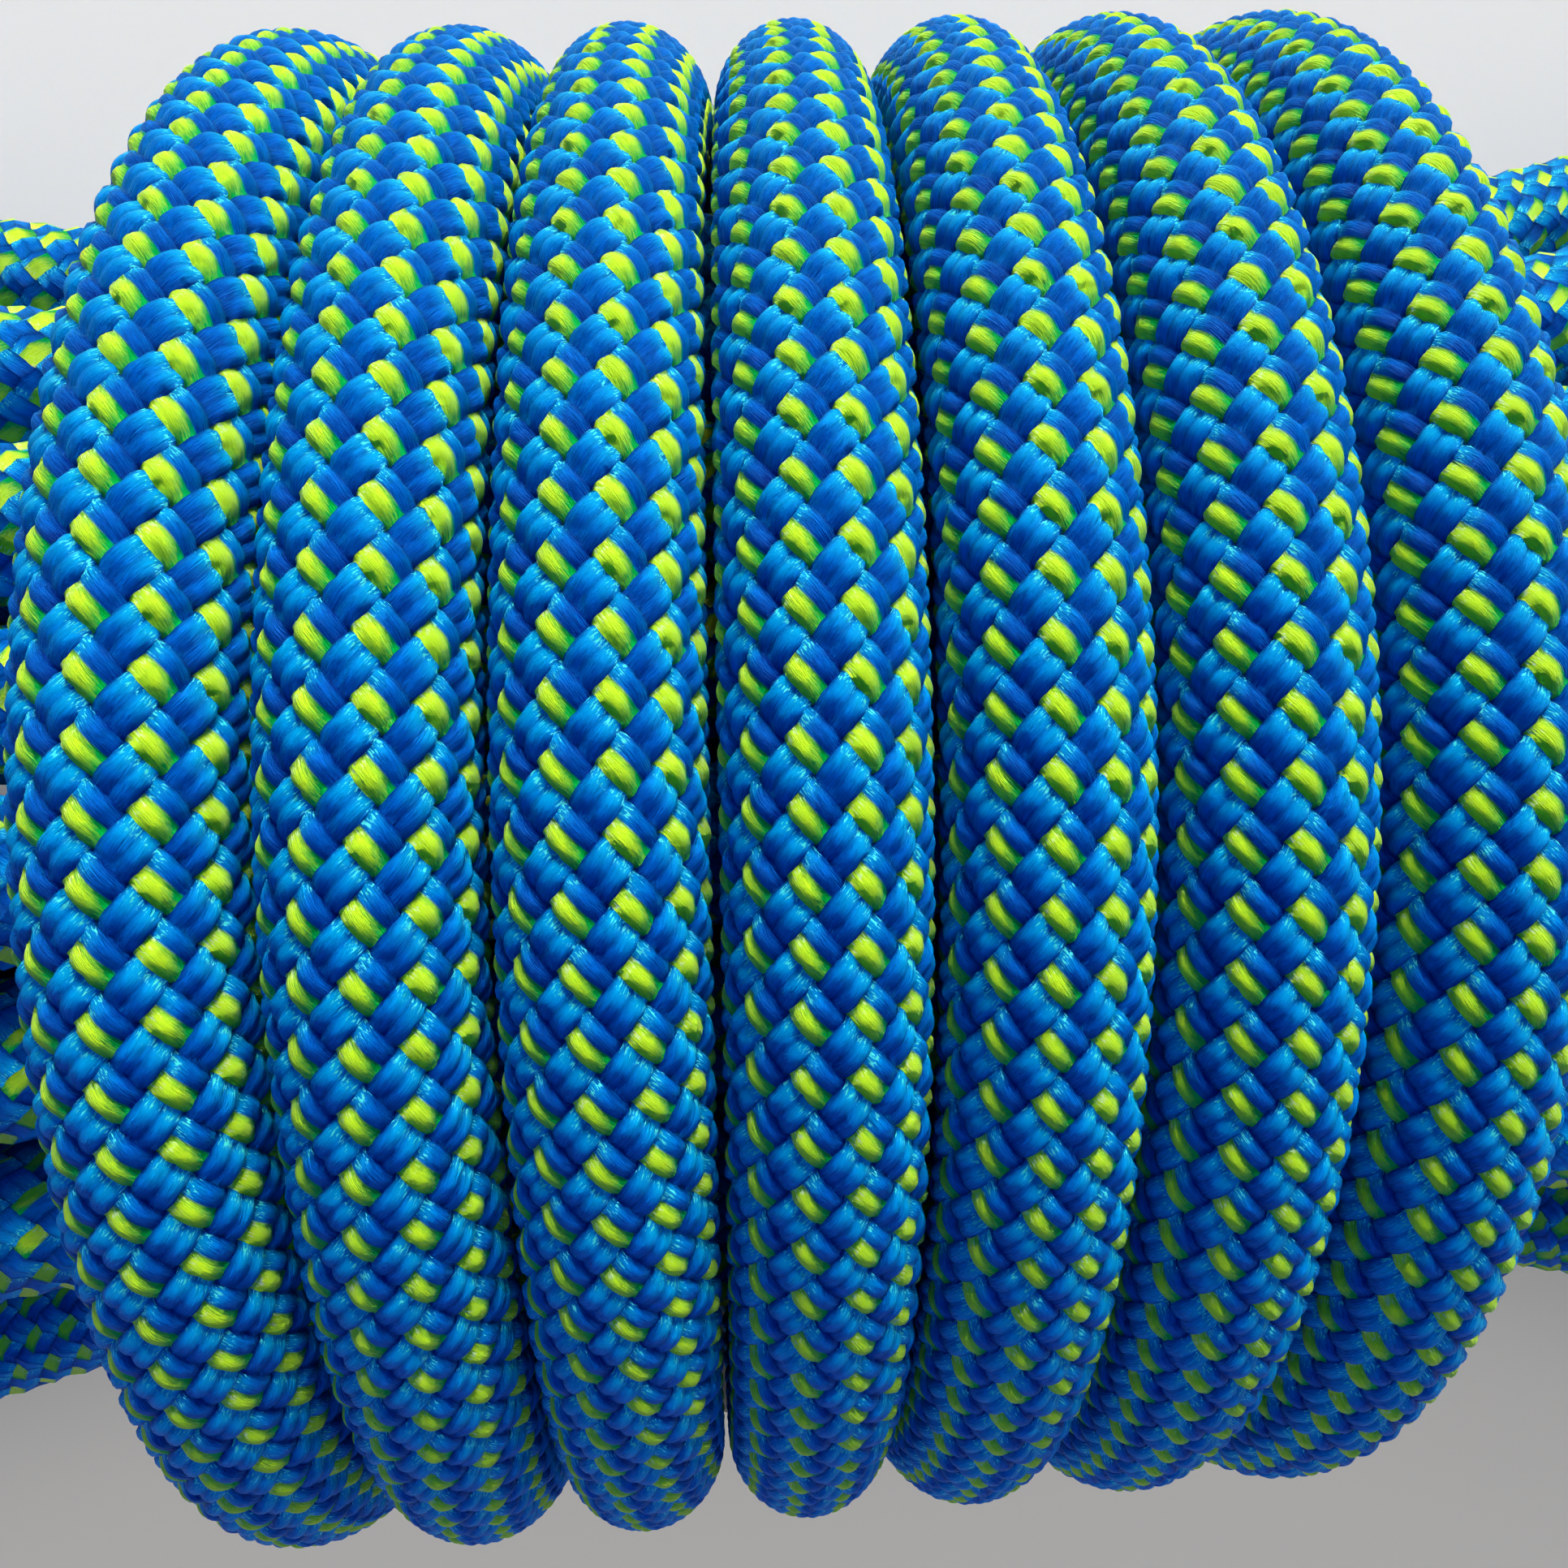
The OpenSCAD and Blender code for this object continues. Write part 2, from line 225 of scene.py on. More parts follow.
# One line of control points from the start end to the finish end, with marks for the pieces
# of the rope. The centreline touches the middle of each of its sides.
route = [toward(START_END, START_POINTS[-1], -END_L), START_END] + START_POINTS[::-1]
route += START_BEND + [place(0, 0, -1, NEAR_MID[0], -1, -1)]
loop_marks = []
for n in range(LOOPS):
    loop_marks.append(len(route))
    route += loop(n)
join = place(STEEP_AT * 2.6, 3, 0, NEAR_MID[3], -1, -1)
way = np.subtract(place(1, 3, 0, NEAR_MID[3], -1, -1), place(2, 3, 0, NEAR_MID[3], -1, -1))
loop_marks.append(len(route) + 1)
route += [join, toward(join, np.add(join, way), 2 * ROPE_R)]
route += [turn_point(TURN_LAST * i / TURN_RINGS) for i in range(TURN_RINGS)]
HELIX_STEPS = math.ceil((WRAP_TO - WRAP_FROM) / 360 * WRAP_RINGS)
helix_first = len(route)
for i in range(HELIX_STEPS):
    a = WRAP_FROM + (WRAP_TO - WRAP_FROM) * i / HELIX_STEPS
    route.append(round_waist(helix_x(a), a, 1 if i < 2 else WRAP_GROW))
route += [toward(FINISH_POINTS[0], FINISH_POINTS[1], -2 * ROPE_R)]
finish_mark = len(route) + 1
route += FINISH_POINTS + [FINISH_END, toward(FINISH_END, FINISH_POINTS[-1], -END_L)]
route = np.array(route, float)


def helix_mark(angle):
    """Place in the list of control points at this angle round the waist"""
    return helix_first + (angle - WRAP_FROM) / (WRAP_TO - WRAP_FROM) * HELIX_STEPS


# ---- centreline, with its length and an untwisted frame

ARC_STEPS = 24
middles = (route[1:] + route[:-1]) / 2
t = np.linspace(0, 1, ARC_STEPS, endpoint=False)[:, None]
line = [route[0] + (middles[0] - route[0]) * t]
at_route = [np.linspace(0, 0.5, ARC_STEPS, endpoint=False)]
for i in range(1, len(route) - 1):
    line.append((1 - t) ** 2 * middles[i - 1] + 2 * t * (1 - t) * route[i] + t * t * middles[i])
    at_route.append(i - 0.5 + t[:, 0])
line.append(middles[-1] + (route[-1] - middles[-1]) * t)
at_route.append(len(route) - 1.5 + t[:, 0] / 2)
line = np.vstack(line + [route[-1:]])
at_route = np.append(np.concatenate(at_route), len(route) - 1)
run = np.concatenate([[0], np.cumsum(np.linalg.norm(np.diff(line, axis=0), axis=1))])
SAMPLE = 1.0
count = int(run[-1] / SAMPLE) + 1
S = np.linspace(0, run[-1], count)
LINE = np.stack([np.interp(S, run, line[:, k]) for k in range(3)], 1)
TANGENT = np.gradient(LINE, S, axis=0)
TANGENT /= np.linalg.norm(TANGENT, axis=1)[:, None]
NORMAL = np.zeros_like(LINE)
NORMAL[0] = [0, 0, 1]
for i in range(1, count):
    n = NORMAL[i - 1] - TANGENT[i] * np.dot(NORMAL[i - 1], TANGENT[i])
    NORMAL[i] = n / math.sqrt(n @ n)
ROPE_L = S[-1]


def station(mark):
    """Distance along the rope of a place in the list of control points"""
    return float(np.interp(mark, at_route, run))


# ---- the braid: 11 pairs of yarns each way. u counts pairs round the rope, v cells along it.

PAIRS = 11
CELL = 2.808                   # length of one cell along the rope
WAVE, PLUMP = 0.36, 0.50       # how far a pair weaves in and out, and how far a yarn bulges
YARN_AT = 0.25                 # place of a yarn in its pair
INNER_W, OUTER_W = 0.34, 0.27  # its width on its partner's side, and on the other

# On the turns that the picture shows the cells have a set place: how far the first one lies
# past the crest, how far round from the top in degrees, and the twist in degrees per mm.
CREST_CELLS = {1: (-1.03, 22.4, 0.136), 2: (-1.24, -14.1, 0.117), 3: (-0.74, -11.0, 0.014),
               4: (-2.54, -2.5, 0.162), 5: (-3.11, -34.1, -0.032)}
HELD = 60                      # on this much rope either side of a crest
# The yarns of the wraps stand this proud, so that the turns all but touch. It fades in and out
# over the rope between these four places.
PROUD = 0.12
proud_s = [station(x) for x in (helix_mark(0), helix_mark(90), helix_mark(90 + 360 * (WRAPS - 1)),
                                finish_mark)]


BEND_REACH = 4                 # samples either side that tell which way the rope bends


def outward(s):
    """The frame's angle to the outside of the bend"""
    k = int(s / SAMPLE)
    bend = TANGENT[k - BEND_REACH] - TANGENT[k + BEND_REACH]
    return math.atan2(np.cross(TANGENT[k], NORMAL[k]) @ bend, NORMAL[k] @ bend)


def nearest(last, want, period):
    return last + (want - last + period / 2) % period - period / 2


def whole_cell(s):
    """The whole number of cells nearest to a place along the rope"""
    return round(float(np.interp(s, S, CELLS_AT)))


PAIR_TURN = 2 * math.pi / PAIRS
cell_s, cell_shift, twist = [0.0], [0.0], [0.0]
for turn, (past, round_by, twist_by) in CREST_CELLS.items():
    s = station(helix_mark(90 + 360 * turn))
    cell_shift += [nearest(cell_shift[-1], -(s + past) / CELL, 1)] * 3
    for off in (-HELD, 0, HELD):
        want = outward(s + off) + math.radians(round_by + twist_by * off)
        twist.append(nearest(twist[-1], want, PAIR_TURN if off == -HELD else 2 * math.pi))
        cell_s.append(s + off)
cell_s.append(ROPE_L)
twist.append(twist[-1])
cell_shift.append(nearest(cell_shift[-1], -ROPE_L / CELL, 1))
CELLS_AT = S / CELL + np.interp(S, cell_s, cell_shift)


def weave(a, b):
    """Height of the braid over its gaps, at the place a, b = u + v, u - v"""
    da, db = a - np.round(a), b - np.round(b)
    over = 1 - 2 * ((np.round(a) - np.round(b)) % 2)

    def yarn(d):
        d = np.abs(d) - YARN_AT
        return np.sqrt(np.clip(1 - (d / np.where(d < 0, INNER_W, OUTER_W)) ** 2, 0, 1))
    first = WAVE * over * np.cos(math.pi * db) + PLUMP * yarn(da)
    second = -WAVE * over * np.cos(math.pi * da) + PLUMP * yarn(db)
    return np.maximum(first, second)


def mm(points):
    return np.asarray(points, float) / 1000


PRESSED_Z = 0.02               # the yarns are pressed flat where they lie on the floor
LANE_END, LANE_SIDE = 0.05, 0.03   # spare room round each lane of rope in the bake's UVs


def mesh_piece(name, verts, face_sets, uvs, material):
    """face_sets holds one array for each number of corners. Each UV layer lists its corners
    in the same order."""
    me = bpy.data.meshes.new(name)
    corners = np.concatenate([f.ravel() for f in face_sets])
    sides = np.concatenate([np.full(len(f), f.shape[1]) for f in face_sets])
    me.vertices.add(len(verts))
    me.vertices.foreach_set("co", mm(verts).astype(np.float32).ravel())
    me.loops.add(len(corners))
    me.loops.foreach_set("vertex_index", corners.astype(np.int32))
    me.polygons.add(len(sides))
    me.polygons.foreach_set("loop_start", (np.cumsum(sides) - sides).astype(np.int32))
    for layer, values in uvs.items():
        uv = me.uv_layers.new(name=layer)
        flat = np.concatenate([v.reshape(-1, 2) for v in values])
        uv.data.foreach_set("uv", flat.astype(np.float32).ravel())
    me.update(calc_edges=True)
    me.validate()
    me.polygons.foreach_set("use_smooth", np.ones(len(me.polygons), dtype=bool))
    me.materials.append(material)
    o = bpy.data.objects.new(name, me)
    bpy.context.scene.collection.objects.link(o)
    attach(o, "root")
    return o


def rope_piece(name, s0, s1, per_cell, material):
    """A length of rope, on a lattice whose lines run along the yarns. It begins and ends on
    a whole cell, so the pieces of the rope meet."""
    d = 1 / per_cell
    v0, v1 = whole_cell(s0), whole_cell(s1)
    rows, cols = round((v1 - v0) * 2 / d) + 1, PAIRS * per_cell
    v = v0 + np.arange(rows) * d / 2
    s = np.interp(v, CELLS_AT, S)
    centre, normal, tangent = (np.stack([np.interp(s, S, w[:, k]) for k in range(3)], 1)
                               for w in (LINE, NORMAL, TANGENT))
    side = np.cross(tangent, normal)
    side /= np.linalg.norm(side, axis=1)[:, None]
    normal = np.cross(side, tangent)
    normal /= np.linalg.norm(normal, axis=1)[:, None]
    r, j = np.meshgrid(np.arange(rows), np.arange(cols), indexing="ij")
    u = (r % 2) * d / 2 + j * d
    vv = v0 + r * d / 2
    turn = PAIR_TURN * u + np.interp(s, cell_s, twist)[:, None]
    proud = np.interp(s, proud_s, [0, PROUD, PROUD, 0])[:, None]
    radius = ROPE_R + proud - WAVE - PLUMP + weave(u + vv, u - vv)
    out = (np.cos(turn)[..., None] * normal[:, None] + np.sin(turn)[..., None] * side[:, None])
    verts = centre[:, None] + radius[..., None] * out
    verts[..., 2] = np.maximum(verts[..., 2], PRESSED_Z)
    # a four-cornered face reaches over three rows
    r, j = (x.ravel() for x in np.meshgrid(np.arange(1, rows - 1), np.arange(cols), indexing="ij"))
    corners = [(np.stack([r, r + 1, r, r - 1], 1),
                np.stack([j, j + r % 2, j + 1, j + r % 2], 1))]
    # three-cornered faces fill the notches of the two zigzag edges
    ends = []
    for row, inner, way in ((0, 1, -1), (rows - 1, rows - 2, 1)):
        k = np.arange(cols)
        tri_r = np.array([[row, inner, row]]).repeat(cols, 0)
        tri_j = np.stack([k, k + row % 2, k + 1], 1)
        ends.append((tri_r[:, ::way], tri_j[:, ::way]))
    corners.append([np.concatenate(x) for x in zip(*ends)])
    lanes = max(1, round(math.sqrt((v1 - v0) * CELL / (2 * math.pi * ROPE_R))))
    lane_v = (v1 - v0) / lanes
    faces, braid, bake = [], [], []
    for fr, fj in corners:
        faces.append(fr * cols + fj % cols)
        cu, cv = fr % 2 * d / 2 + fj * d, v0 + fr * d / 2
        braid.append(np.stack([cu, cv], -1))
        lane = np.minimum(fr.min(1) * lanes // (rows - 2), lanes - 1)[:, None]
        bake.append(np.stack([((cv - v0) / lane_v - lane + LANE_END) / (1 + 2 * LANE_END),
                              (lane + (cu / PAIRS + LANE_SIDE) / (1 + 2 * LANE_SIDE)) / lanes],
                             -1))
    return mesh_piece(name, verts.reshape(-1, 3), faces, {"braid": braid, "OFBake": bake},
                      material)


# ---- shader maths

class Sum:
    """A number in a shader, so that shader maths reads as ordinary sums"""
    def __init__(self, tree, socket):
        self.tree, self.socket = tree, socket

    def op(self, kind, *others):
        node = self.tree.nodes.new("ShaderNodeMath")
        node.operation = kind
        for k, x in enumerate((self,) + others):
            if isinstance(x, Sum):
                self.tree.links.new(x.socket, node.inputs[k])
            else:
                node.inputs[k].default_value = x
        return Sum(self.tree, node.outputs[0])

    def __add__(self, x): return self.op("ADD", x)
    def __sub__(self, x): return self.op("SUBTRACT", x)
    def __mul__(self, x): return self.op("MULTIPLY", x)
    def __truediv__(self, x): return self.op("DIVIDE", x)
    def __gt__(self, x): return self.op("GREATER_THAN", x)
    def near(self): return (self + 0.5).op("FLOOR")
    def abs(self): return self.op("ABSOLUTE")
    def cos(self): return self.op("COSINE")
    def wrap(self, n): return self.op("FLOORED_MODULO", n)
    def clip(self): return self.op("MAXIMUM", 0.0).op("MINIMUM", 1.0)
    def mix(self, low, high): return self * (high - low) + low


def new_material(name, **inputs):
    m = bpy.data.materials.new(name)
    m.use_nodes = True
    shader = m.node_tree.nodes["Principled BSDF"]
    for key, value in inputs.items():
        shader.inputs[key.replace("_", " ")].default_value = value
    return m, m.node_tree, shader


def noise(tree, vector, scale, detail=2.0, rough=0.5):
    node = tree.nodes.new("ShaderNodeTexNoise")
    node.inputs["Scale"].default_value = scale
    node.inputs["Detail"].default_value = detail
    node.inputs["Roughness"].default_value = rough
    tree.links.new(vector, node.inputs["Vector"])
    return Sum(tree, node.outputs["Fac"])


def add_bump(tree, shader, height):
    """Relief in millimetres"""
    bump = tree.nodes.new("ShaderNodeBump")
    bump.inputs["Strength"].default_value = 1.0
    bump.inputs["Distance"].default_value = 0.001
    tree.links.new(height.socket, bump.inputs["Height"])
    tree.links.new(bump.outputs[0], shader.inputs["Normal"])


def combine(tree, x, y, z):
    node = tree.nodes.new("ShaderNodeCombineXYZ")
    for k, value in enumerate((x, y, z)):
        tree.links.new(value.socket, node.inputs[k])
    return node.outputs[0]


def mix_color(tree, share, a, b):
    node = tree.nodes.new("ShaderNodeMix")
    node.data_type = "RGBA"
    for key, value in (("Factor_Float", share), ("A_Color", a), ("B_Color", b)):
        socket = next(s for s in node.inputs if s.identifier == key)
        if isinstance(value, Sum):
            tree.links.new(value.socket, socket)
        elif isinstance(value, bpy.types.NodeSocket):
            tree.links.new(value, socket)
        elif isinstance(value, (int, float)):
            socket.default_value = value
        else:
            socket.default_value = (*value, 1.0)
    return next(s for s in node.outputs if s.identifier == "Result_Color")


OTHER_WAY = 40.0               # sets the numbers of the yarns that run the other way apart
# Noise on the yarns: how fast it changes across and along a cell, and from yarn to yarn
FILAMENTS, FILAMENT_LAY = (17.0, 1.7, 7.3), 2.2
TUFTS = (4.0, 3.0, 3.1)
SPECKS = (24.0, 7.0, 5.7)
PATCHES = (0.35, 0.35, 1.7)    # along the two ways of the yarns, and from yarn to yarn
FILAMENT_BUMP, TUFT_BUMP, SPECK_BUMP = 0.20, 0.10, 0.03   # their relief in millimetres
MIDDLE_OF_FLOAT, MIDDLE_OF_YARN = 0.20, 0.30   # the part of each that gets no shading
GAP_TOP = 0.08                 # what lies lower than this takes the painted shade of the gaps
# painted highlight colour of the blue yarns
BLUE_HIGHLIGHT = (0.0, 0.48, 1.0)
BLUE = (0.0, 0.185, 0.88)
# painted shade colour of the blue yarns, which is also the dark end of their own tone
BLUE_SHADED = (0.0, 0.015, 0.27)
GREEN = (0.86, 1.0, 0.02)
# painted shade colour of the green yarn
GREEN_SHADED = (0.0, 0.52, 0.06)
# light colours of broken filaments, brightened as painted glints
FUZZ_GLINT = (0.14, 0.95, 1.0)
GREEN_FUZZ_GLINT = (0.95, 1.0, 0.45)
# painted shade colour deep in the gaps of the braid
GAP_SHADE = (0.0, 0.006, 0.05)


def braid_material(name, relief):
    """Two blue yarns in every pair one way, a blue and a green one the other way. relief is
    the share of the weave's height that the surface itself lacks."""
    m, tree, shader = new_material(name, Specular_IOR_Level=0.04, Sheen_Weight=0.25,
                                    Sheen_Roughness=0.45, Sheen_Tint=(0.0, 0.75, 1.0, 1.0))
    uv = tree.nodes.new("ShaderNodeUVMap")
    uv.uv_map = "braid"
    split = tree.nodes.new("ShaderNodeSeparateXYZ")
    tree.links.new(uv.outputs[0], split.inputs[0])
    u, v = Sum(tree, split.outputs[0]), Sum(tree, split.outputs[1])
    a, b = u + v, u - v
    i, k = a.near(), b.near()
    da, db = a - i, b - k
    over = (i - k).wrap(2.0) * -2.0 + 1.0

    def from_yarn(d):
        """0 along the middle of a yarn, and 1 at its sides"""
        d = d.abs() - YARN_AT
        return d.abs() / (d > 0.0).mix(INNER_W, OUTER_W)

    def yarn(d):
        e = from_yarn(d)
        return (e * e * -1.0 + 1.0).clip().op("SQRT")
    first = over * (db * math.pi).cos() * WAVE + yarn(da) * PLUMP
    second = over * (da * math.pi).cos() * -WAVE + yarn(db) * PLUMP
    on_top = first > second              # 1 where the yarns of the first way are seen
    height = first.op("MAXIMUM", second)
    # places across and along the yarn that is seen, and along it in its cell
    across, along, here = on_top.mix(db, da), on_top.mix(a, b), on_top.mix(da, db)
    # how far along its own float a place is: 0 in the middle, more than 0.5 where it dives
    own = (on_top * 2.0 - 1.0) * over
    float_end = (here.abs() - 0.5) * own + 0.5
    ahead = here.op("SIGN") * own * (on_top * -2.0 + 1.0)
    # from -0.5 at the end where a float dives, to 0.5 at the end where it comes up
    rise = (here.abs() - 0.5 + own * 0.5) * (on_top * -2.0 + 1.0) * here.op("SIGN")
    carrier = on_top.mix(k.wrap(PAIRS) + OTHER_WAY, i.wrap(PAIRS))
    right = across > 0.0
    strand = carrier * 2.0 + right

    def stretched(x, y, sizes, slant=0.0):
        x_size, y_size, strand_size = sizes
        crosswise = x * x_size
        if slant:
            crosswise = crosswise + y * slant
        return combine(tree, crosswise, y * y_size, strand * strand_size)
    # fine filaments run along each yarn, with a slight lay
    filaments = noise(tree, stretched(across, along, FILAMENTS, FILAMENT_LAY),
                      scale=1.7, detail=3.0, rough=0.65)
    tuft = noise(tree, stretched(across, along, TUFTS), scale=1.0)
    specks = noise(tree, stretched(across, along, SPECKS), scale=1.0, detail=1.0)
    patch = noise(tree, stretched(a, b, PATCHES), scale=1.0, detail=1.0)
    ends = ((float_end - MIDDLE_OF_FLOAT) / 0.40).clip()
    side = ((from_yarn(across) - MIDDLE_OF_YARN) / 0.62).clip()
    # the weights from here on were set against the photo, crop by crop
    # painted shade: darker towards both ends of each float, most at the end where it dives, and on
    # the sides of each yarn
    painted_shade = (ends * ends * (ahead * -0.4 + 0.6)).op("MAXIMUM", side * side * 0.8)
    # the yarn's own tone varies at random and differs between the two ways; painted light makes
    # each float lighter towards the end where it comes up, and the painted shade darkens it
    tone_and_shading = ((filaments - 0.5) * 1.2 + (tuft - 0.5) * 0.6 + (patch - 0.5) * 0.5 + 0.70
            + rise * 0.4 - painted_shade * 0.80 + (on_top * -0.16 + 0.10)).clip()
    blue = mix_color(tree, tone_and_shading, BLUE_SHADED, BLUE)
    # painted highlight: each blue float turns light in streaks towards the end where it comes up,
    # less so on the yarns' sides
    painted_sheen = (rise * 2.0 + filaments * 0.9 + on_top * -0.42 - 0.14).clip() * (side * -1.0 + 1.0)
    blue = mix_color(tree, painted_sheen * 0.85, blue, BLUE_HIGHLIGHT)
    # painted shade: the green yarn turns deep green beside its blue partner and where it dives,
    # and a little at both ends of its float
    rim = ((across + 0.18) / 0.16).clip() * 0.7 + (rise * -2.4 + 0.1).clip() * 0.9 + ends * 0.2
    grain = (specks - 0.5) * 0.7 + (filaments - 0.5) * 0.5
    green = mix_color(tree, (tone_and_shading * 0.5 + grain + 0.89 - rim * 0.78).clip(), GREEN_SHADED, GREEN)
    is_green = on_top * ((across / 0.05).clip() * -1.0 + 1.0)
    color = mix_color(tree, is_green, blue, green)
    # broken filaments show as light specks and streaks, lightened further as painted glints, most
    # of all where a float comes up
    crest = ((ends - 0.08) * 4.0).clip() * ((ends * -1.0 + 1.0) * 6.0).clip()
    fuzz_and_glint = ((specks + filaments * 0.45 - 0.80) * 26.0).clip() * crest
    fuzz_glint_color = mix_color(tree, is_green, FUZZ_GLINT, GREEN_FUZZ_GLINT)
    color = mix_color(tree, (fuzz_and_glint * (ahead * 0.48 + 0.48)).clip(), color, fuzz_glint_color)
    # painted shade: what lies low between the yarns turns near black
    depth = ((height - GAP_TOP) * 2.6).clip()
    color = mix_color(tree, depth, GAP_SHADE, color)
    tree.links.new(color, shader.inputs["Base Color"])
    tree.links.new((tuft * -0.3 + 0.6).socket, shader.inputs["Roughness"])
    add_bump(tree, shader, (filaments - 0.5) * FILAMENT_BUMP + (tuft - 0.5) * TUFT_BUMP
             + specks * SPECK_BUMP + height * relief)
    return m


# ---- camera and cords

PICTURE = 1932                 # its width and height in pixels
FOCAL_PX, SHIFT_PX = 1408.6, (-8, 9)
SENSOR = 36                    # width in millimetres
NEAREST, FARTHEST = 0.002, 20  # what the camera sees, in metres
CAMERA_UP = 9.70 * ROPE_R
CAMERA_X = 3.339 * ROPE_R - 2 * STEP
CAMERA_Y = -0.835 * ROPE_R
PITCH, YAW, ROLL = (math.radians(x) for x in (-1.56, 2.67, 0.89))


def about(axis, angle):
    """Turns by angle about axis 0, 1 or 2"""
    i, j = (axis + 1) % 3, (axis + 2) % 3
    m = np.eye(3)
    m[i, i] = m[j, j] = math.cos(angle)
    m[i, j], m[j, i] = -math.sin(angle), math.sin(angle)
    return m


def set_camera():
    """Looks down at the top of the wraps, turned so that they run straight up the picture"""
    cam = bpy.data.objects.new("Camera", bpy.data.cameras.new("Camera"))
    bpy.context.scene.collection.objects.link(cam)
    cam.data.sensor_width = SENSOR
    cam.data.lens = FOCAL_PX / PICTURE * SENSOR
    cam.data.shift_x, cam.data.shift_y = (shift / PICTURE for shift in SHIFT_PX)
    cam.data.clip_start, cam.data.clip_end = NEAREST, FARTHEST
    view = about(2, ROLL) @ about(1, YAW) @ about(0, PITCH) @ about(2, LEAN)
    stand = Matrix(view.T.tolist()).to_4x4()
    stand.translation = mm([CAMERA_X, CAMERA_Y, MID_Z + WRAP_B + ROPE_R + CAMERA_UP]).tolist()
    cam.matrix_world = stand
    bpy.context.scene.camera = cam


set_camera()
fine = braid_material("Braided sheath", 0.0)
coarse = braid_material("Braided sheath, hank", 0.5)

TAIL_LINES, LOOP_LINES, WRAP_LINES = 4, 2, 8   # mesh lines for each cell
loop_s = [station(m - 0.5) for m in loop_marks]
turn_s = [loop_s[-1]] + [station(helix_mark(270 + 360 * k)) for k in range(WRAPS - 1)]
turn_s.append(station(finish_mark - 0.5))
sections = [("start_tail_rope", 0.0, loop_s[0], TAIL_LINES, "start_tail")]
for n in range(LOOPS):
    sections.append((f"loop_rope_{n + 1}", loop_s[n], loop_s[n + 1], LOOP_LINES, "hank_loops"))
for n in range(WRAPS):
    sections.append((f"wrap_rope_{n + 1}", turn_s[n], turn_s[n + 1], WRAP_LINES, "waist_wraps"))
sections.append(("finish_tail_rope", turn_s[-1], ROPE_L, TAIL_LINES, "finish_tail"))

CORE_STRANDS = 12


def tail_pieces(end):
    return [f"{end}_core_strand_{n}" for n in range(1, CORE_STRANDS + 1)] + [f"{end}_tracer"]


PATH_STEP, PATH_POINTS = 0.004, 12   # metres between a cord's path points, and the fewest of them
ropes = []
for name, s0, s1, per_cell, node in sections:
    material = coarse if node == "hank_loops" else fine
    o = rope_piece(name, s0, s1, per_cell, material)
    ropes.append(o)
    if node.endswith("tail"):
        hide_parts(node, node.replace("tail", "sheath_end"))
    else:
        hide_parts(node)
    a, b = (float(np.interp(whole_cell(s), CELLS_AT, S)) for s in (s0, s1))
    steps = np.linspace(a, b, max(PATH_POINTS, int((b - a) / 1000 / PATH_STEP)))
    path = mm(np.stack([np.interp(steps, S, LINE[:, k]) for k in range(3)], 1)).tolist()
    far = "object"
    extra = []
    if name.startswith("start_tail"):
        path, far, extra = path[::-1], "bare", tail_pieces("start")
    elif name.startswith("finish_tail"):
        far, extra = "bare", tail_pieces("finish")
    (b - a) / 1000

# ---- end sleeves and melted tips

SLEEVE_R, SLEEVE_IN, SLEEVE_L, TIP_COVER = 5.45, 5.05, 30.0, 1.0
TIP_ROUND, TIP_DISH, TIP_UNDER = 1.0, 0.25, 0.5   # rim radius, hollow in its face, part inside
SIDES = 16 * PAIRS
BAKE_EDGE = 0.02               # spare room round the bake's UVs
angle = np.arange(SIDES) / SIDES * 2 * math.pi


def turned(name, start, way, profile, bumps, material):
    """A turned shape along the way from start. profile lists places along it and radii;
    bumps gives how far the surface lies inside that, for each point."""
    z, radius = (np.array(x, float)[:, None] for x in zip(*profile))
    way = np.array(way, float) / np.linalg.norm(way)
    side = np.cross(way, [0, 0, 1])
    up = np.cross(side, way)
    r = np.maximum(radius - bumps(z, angle[None], radius), 0.0)
    verts = (start + z[..., None] * way + (r * np.cos(angle))[..., None] * side
             + (r * np.sin(angle))[..., None] * up)
    j, i = (x.ravel() for x in np.meshgrid(np.arange(len(z) - 1), np.arange(SIDES),
                                           indexing="ij"))
    cj, ci = np.stack([j, j, j + 1, j + 1], 1), np.stack([i, i + 1, i + 1, i], 1)
    steps = np.hypot(np.diff(z[:, 0]), np.diff(radius[:, 0]))
    walked = np.concatenate([[0], np.cumsum(steps)]) / steps.sum()
    uv = BAKE_EDGE + (1 - 2 * BAKE_EDGE) * np.stack([ci / SIDES, walked[cj]], -1)
    return mesh_piece(name, verts.reshape(-1, 3), [cj * SIDES + ci % SIDES], {"OFBake": [uv]},
                      material)


LIP = 1.5                      # length over which bumps and lumps fade in from an edge
# how deep the sleeve lies in the gaps of the braid and everywhere, and how much that varies
BRAID_BUMP, SLEEVE_SLACK, SLEEVE_WANDER = 0.17, 0.03, 0.03
# how deep the melted surface lies, how much its lumps change that, and the most it may be
MELT_SINK, MELT_LUMPS, MELT_MOST = 0.20, 0.14, 0.4


def sleeve_bumps(z, a, radius):
    """The braid shows through the shrunk-on sleeve"""
    u, v = a / PAIR_TURN, z / CELL
    cells = np.abs(np.cos(math.pi * (u + v)) * np.cos(math.pi * (u - v)))
    lip = np.clip(np.minimum(z, SLEEVE_L - z) / LIP, 0, 1)
    wander = SLEEVE_WANDER * np.sin(2 * a + z * 0.35) * np.sin(z * 0.9 + 1.0)
    return lip * (BRAID_BUMP * (1 - cells) + SLEEVE_SLACK + wander)


